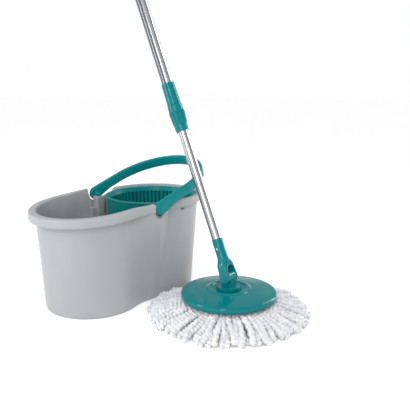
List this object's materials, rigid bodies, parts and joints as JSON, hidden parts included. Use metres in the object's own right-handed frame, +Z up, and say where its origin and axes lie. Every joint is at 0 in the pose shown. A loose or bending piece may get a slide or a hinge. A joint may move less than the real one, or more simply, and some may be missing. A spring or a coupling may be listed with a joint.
{
  "type": "spin mop",
  "caption": "Two-lobed mop bucket with a swinging handle and a spinning wringer basket, and a telescopic mop with a tilting, turning round head of chunky strands.",
  "frame": {"origin": "on the floor under the middle of the bucket's waist, between its two lobes", "axes": "+X from the wash lobe to the spin lobe, +Y away from the mop that stands beside the bucket, +Z up"},
  "size_m": [0.4162, 0.5821, 1.1724],
  "materials": {
    "bucket_plastic": "satin moulded polypropylene",
    "teal_plastic": "glossy moulded polypropylene",
    "handle_plastic": "satin moulded polypropylene",
    "dark_teal_plastic": "satin moulded polypropylene",
    "tube_steel": "polished stainless tube",
    "small_steel": "plain zinc-plated steel",
    "white_plastic": "plain nylon",
    "microfibre": "chunky twisted microfibre yarn"
  },
  "bodies": {
    "bucket": {"bucket": "bucket_plastic", "basket_housing": "dark_teal_plastic", "basket_axle": "small_steel", "axle_clip": "small_steel"},
    "handle": {"handle": "handle_plastic"},
    "basket": {"spin_basket": "handle_plastic", "basket_bush": "white_plastic", "hub_cap": "dark_teal_plastic"},
    "mop_swivel": {"swivel_turret": "teal_plastic", "turret_washer": "small_steel", "turret_screw": "small_steel"},
    "mop_disc": {"disc_cover": "teal_plastic", "refill_plate": "white_plastic", "strands": "microfibre", "swivel_bearing": "dark_teal_plastic"},
    "lower_pole": {"pole_socket": "teal_plastic", "hinge_pin": "small_steel", "socket_rivet": "small_steel", "lower_tube": "tube_steel", "guide_bush": "white_plastic"},
    "nut_drive": {"drive_nut": "dark_teal_plastic"},
    "upper_pole": {"upper_tube": "tube_steel", "collar_sleeve": "teal_plastic", "lock_collet": "white_plastic", "twist_rod": "small_steel", "rod_plug": "dark_teal_plastic", "hand_grip": "teal_plastic", "hanging_cap": "teal_plastic"},
    "twist_lock": {"lock_nut": "teal_plastic"}
  },
  "joints": [
    {"name": "handle_swing", "type": "hinge", "parent": "bucket", "child": "handle", "pos_m": [0.0145, 0, 0.1985], "axis": [0, -1, 0], "range_deg": [0, 75]},
    {"name": "basket_spin", "type": "hinge", "parent": "bucket", "child": "basket", "pos_m": [0.084, 0, 0.11], "axis": [0, 0, 1], "continuous": true},
    {"name": "mop_lift", "type": "slide", "parent": "bucket", "child": "mop_swivel", "axis": [0, -0.6, 0.8], "range_m": [0, 0.4]},
    {"name": "head_turn", "type": "hinge", "parent": "mop_swivel", "child": "mop_disc", "pos_m": [0.076, -0.238, 0.05], "axis": [0, 0, 1], "continuous": true},
    {"name": "pole_tilt", "type": "hinge", "parent": "mop_swivel", "child": "lower_pole", "pos_m": [0.076, -0.238, 0.075], "axis": [0.9826, 0.1857, 0], "range_deg": [-6, 110]},
    {"name": "pole_slide", "type": "slide", "parent": "lower_pole", "child": "upper_pole", "axis": [-0.068, 0.3601, 0.9304], "range_m": [-0.2, 0.25]},
    {"name": "drive_turn", "type": "hinge", "parent": "lower_pole", "child": "nut_drive", "pos_m": [0.02973, 0.00689, 0.70769], "axis": [-0.068, 0.3601, 0.9304], "range_deg": [-755, 605]},
    {"name": "lock_turn", "type": "hinge", "parent": "upper_pole", "child": "twist_lock", "pos_m": [0.05354, -0.11916, 0.38204], "axis": [-0.068, 0.3601, 0.9304], "range_deg": [0, 120]}
  ],
  "couplings": [
    {"joint": "drive_turn", "follows": "pole_slide", "rad_per_m": -52.36}
  ]
}
